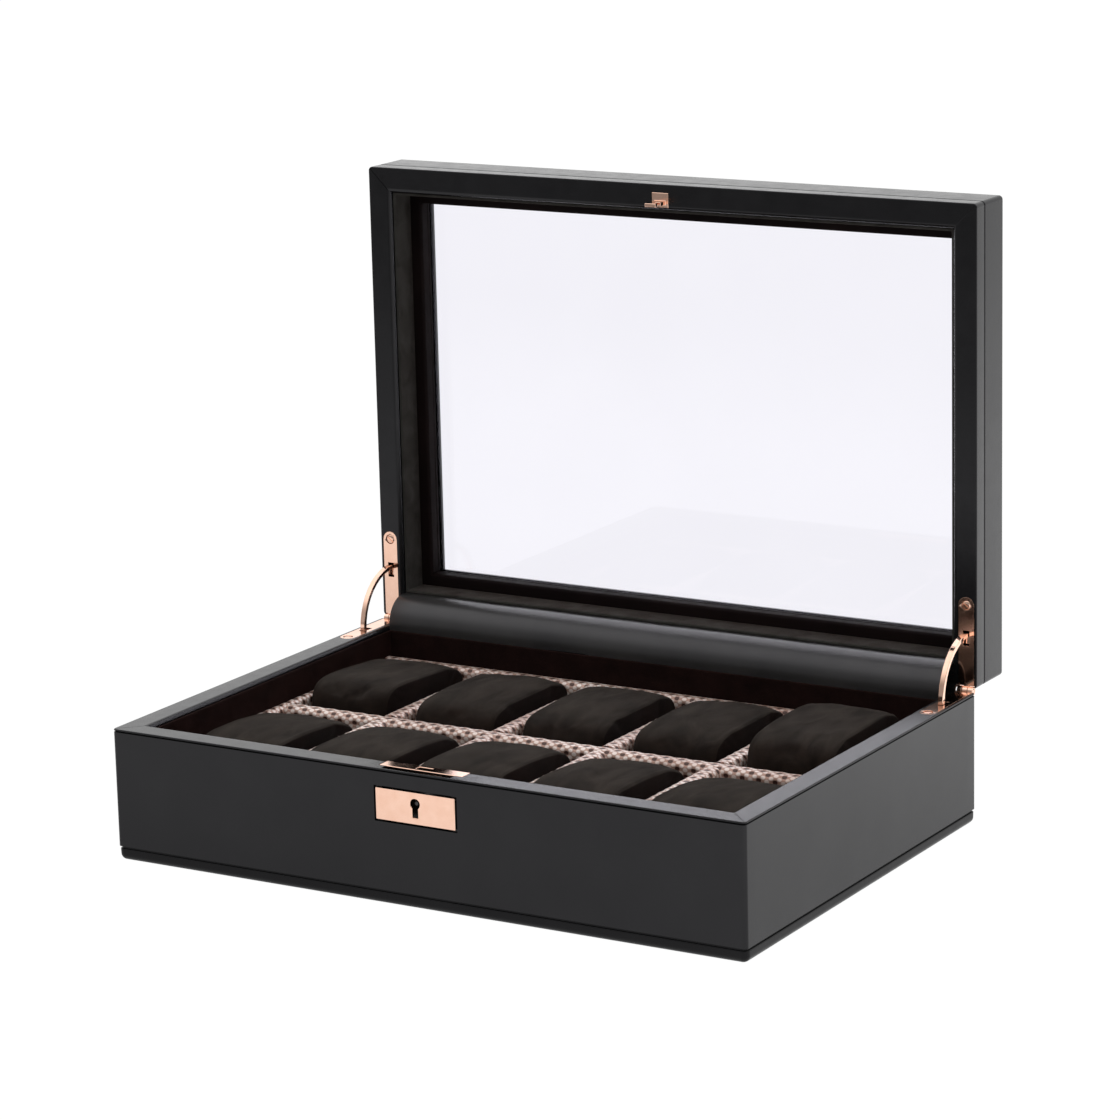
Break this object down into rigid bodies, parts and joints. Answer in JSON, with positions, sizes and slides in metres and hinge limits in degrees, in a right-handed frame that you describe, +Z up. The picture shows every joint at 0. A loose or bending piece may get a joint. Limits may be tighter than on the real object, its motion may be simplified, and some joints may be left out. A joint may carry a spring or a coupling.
{
  "type": "watch box",
  "caption": "Leather-covered watch box with a hinged glass lid on quadrant stays, a key lock and lift-out cushions in a divided, fabric-trimmed tray.",
  "frame": {"origin": "centre of the felt-covered underside of the base, where the box rests", "axes": "+X to the right along the front, +Y from the front to the hinged back, +Z up; stored with the lid open"},
  "size_m": [0.335, 0.2635, 0.2976],
  "materials": {
    "leather": "black fine-grained leather over board, satin",
    "velvet": "very dark brown velvet over card",
    "pattern_fabric": "copper and cream lattice-patterned jacquard over board",
    "suede": "charcoal suede cloth over foam",
    "rose_gold": "polished rose gold plate",
    "steel": "plain steel lock works",
    "felt": "black felt",
    "glass": "clear float glass"
  },
  "bodies": {
    "base": {"base_front_panel": "leather", "base_right_panel": "leather", "base_back_panel": "leather", "base_left_panel": "leather", "base_front_lining": "velvet", "base_right_lining": "velvet", "base_back_lining": "velvet", "base_left_lining": "velvet", "bottom_board": "leather", "felt_pad": "felt", "tray_floor": "velvet", "tray_front_border": "pattern_fabric", "tray_right_border": "pattern_fabric", "tray_back_border": "pattern_fabric", "tray_left_border": "pattern_fabric", "tray_centre_divider": "pattern_fabric", "tray_cross_divider_1": "pattern_fabric", "tray_cross_divider_2": "pattern_fabric", "tray_cross_divider_3": "pattern_fabric", "tray_cross_divider_4": "pattern_fabric", "keyhole_plate": "rose_gold", "lock_plate": "rose_gold", "lock_case": "steel", "hinge_base_leaf_left": "rose_gold", "hinge_pin_left": "rose_gold", "hinge_base_screw_left": "rose_gold", "hinge_base_leaf_right": "rose_gold", "hinge_pin_right": "rose_gold", "hinge_base_screw_right": "rose_gold"},
    "lid": {"lid_front_rail": "leather", "lid_right_rail": "leather", "lid_back_rail": "leather", "lid_left_rail": "leather", "lid_front_lining": "velvet", "lid_right_lining": "velvet", "lid_back_lining": "velvet", "lid_left_lining": "velvet", "glass_bead_front": "leather", "glass_bead_right": "leather", "glass_bead_back": "leather", "glass_bead_left": "leather", "glass_pane": "glass", "lid_catch": "rose_gold", "hinge_lid_leaf_left": "rose_gold", "hinge_lid_screw_left": "rose_gold", "hinge_lid_leaf_right": "rose_gold", "hinge_lid_screw_right": "rose_gold"},
    "quadrant_arm_left": {"quadrant_arm_left": "rose_gold"},
    "quadrant_arm_right": {"quadrant_arm_right": "rose_gold"},
    "lock_bolt": {"lock_bolt": "steel"},
    "cushion_1": {"watch_cushion_1": "suede"},
    "cushion_2": {"watch_cushion_2": "suede"},
    "cushion_3": {"watch_cushion_3": "suede"},
    "cushion_4": {"watch_cushion_4": "suede"},
    "cushion_5": {"watch_cushion_5": "suede"},
    "cushion_6": {"watch_cushion_6": "suede"},
    "cushion_7": {"watch_cushion_7": "suede"},
    "cushion_8": {"watch_cushion_8": "suede"},
    "cushion_9": {"watch_cushion_9": "suede"},
    "cushion_10": {"watch_cushion_10": "suede"}
  },
  "joints": [
    {"name": "lid_hinge", "type": "hinge", "parent": "base", "child": "lid", "pos_m": [0, 0.117, 0.0646], "axis": [-1, 0, 0], "range_deg": [-90, 0]},
    {"name": "quadrant_arm_left_swing", "type": "hinge", "parent": "base", "child": "quadrant_arm_left", "pos_m": [-0.162, 0.117, 0.0646], "axis": [-1, 0, 0], "range_deg": [-45, 0]},
    {"name": "quadrant_arm_right_swing", "type": "hinge", "parent": "base", "child": "quadrant_arm_right", "pos_m": [0.162, 0.117, 0.0646], "axis": [-1, 0, 0], "range_deg": [-45, 0]},
    {"name": "lock_bolt_throw", "type": "slide", "parent": "base", "child": "lock_bolt", "axis": [-1, 0, 0], "range_m": [0, 0.003]},
    {"name": "cushion_1_lift", "type": "slide", "parent": "base", "child": "cushion_1", "axis": [0, 0, 1], "range_m": [0, 0.08]},
    {"name": "cushion_2_lift", "type": "slide", "parent": "base", "child": "cushion_2", "axis": [0, 0, 1], "range_m": [0, 0.08]},
    {"name": "cushion_3_lift", "type": "slide", "parent": "base", "child": "cushion_3", "axis": [0, 0, 1], "range_m": [0, 0.08]},
    {"name": "cushion_4_lift", "type": "slide", "parent": "base", "child": "cushion_4", "axis": [0, 0, 1], "range_m": [0, 0.08]},
    {"name": "cushion_5_lift", "type": "slide", "parent": "base", "child": "cushion_5", "axis": [0, 0, 1], "range_m": [0, 0.08]},
    {"name": "cushion_6_lift", "type": "slide", "parent": "base", "child": "cushion_6", "axis": [0, 0, 1], "range_m": [0, 0.08]},
    {"name": "cushion_7_lift", "type": "slide", "parent": "base", "child": "cushion_7", "axis": [0, 0, 1], "range_m": [0, 0.08]},
    {"name": "cushion_8_lift", "type": "slide", "parent": "base", "child": "cushion_8", "axis": [0, 0, 1], "range_m": [0, 0.08]},
    {"name": "cushion_9_lift", "type": "slide", "parent": "base", "child": "cushion_9", "axis": [0, 0, 1], "range_m": [0, 0.08]},
    {"name": "cushion_10_lift", "type": "slide", "parent": "base", "child": "cushion_10", "axis": [0, 0, 1], "range_m": [0, 0.08]}
  ],
  "couplings": [
    {"joint": "quadrant_arm_left_swing", "follows": "lid_hinge", "ratio": 0.5},
    {"joint": "quadrant_arm_right_swing", "follows": "lid_hinge", "ratio": 0.5}
  ]
}
